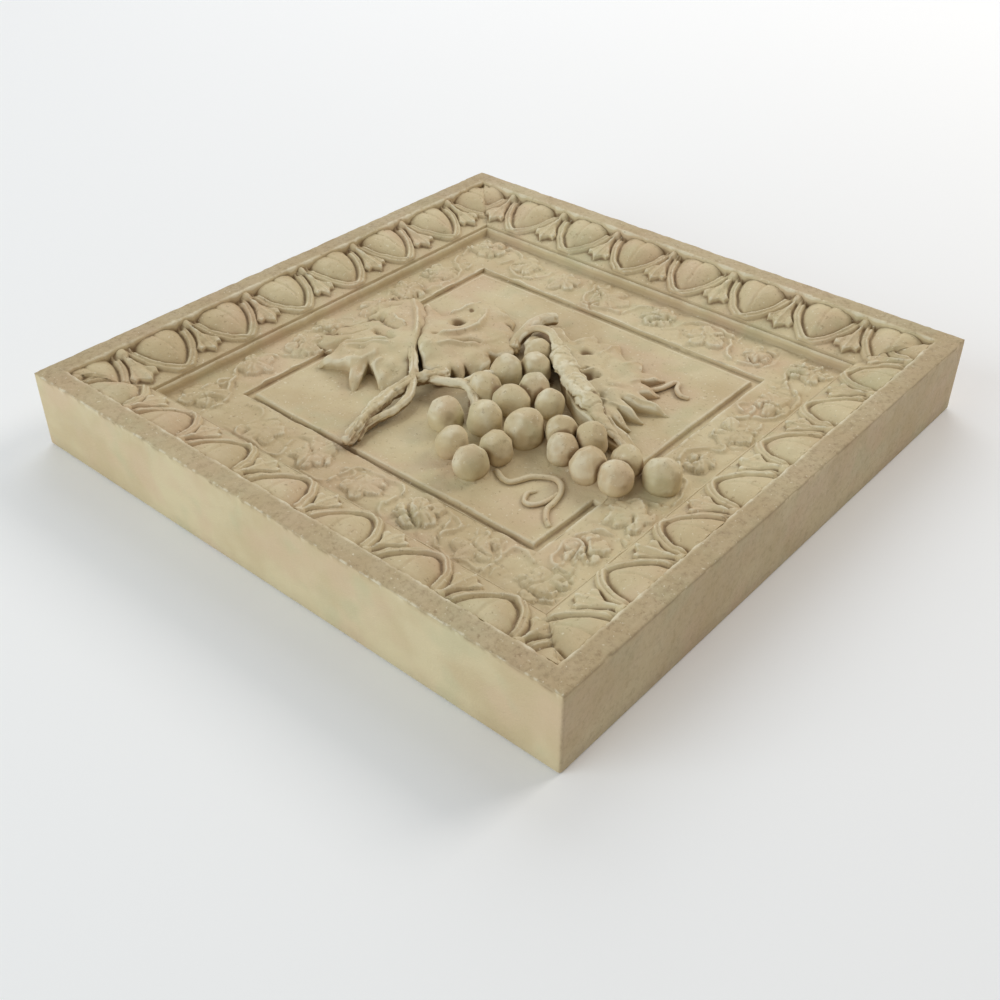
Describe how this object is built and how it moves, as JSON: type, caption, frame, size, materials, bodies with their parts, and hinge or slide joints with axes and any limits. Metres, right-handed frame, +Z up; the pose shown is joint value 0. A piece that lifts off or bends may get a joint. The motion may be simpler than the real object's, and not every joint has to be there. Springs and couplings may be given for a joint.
{
  "type": "decorative wall plaque",
  "caption": "Square cast plaster wall plaque: egg-and-dart border, vine band and a high relief of grapes and leaves.",
  "frame": {"origin": "centre of the flat back, where the plaque meets the wall", "axes": "+Z up as it hangs, +X to the right seen from the front, -Y out of the wall, so the carved front faces -Y"},
  "size_m": [0.305, 0.0385, 0.305],
  "materials": {
    "painted_plaster": "matte beige paint on cast plaster, slightly sandy, lighter on worn edges"
  },
  "bodies": {
    "root": {"plaque": "painted_plaster"}
  },
  "joints": []
}
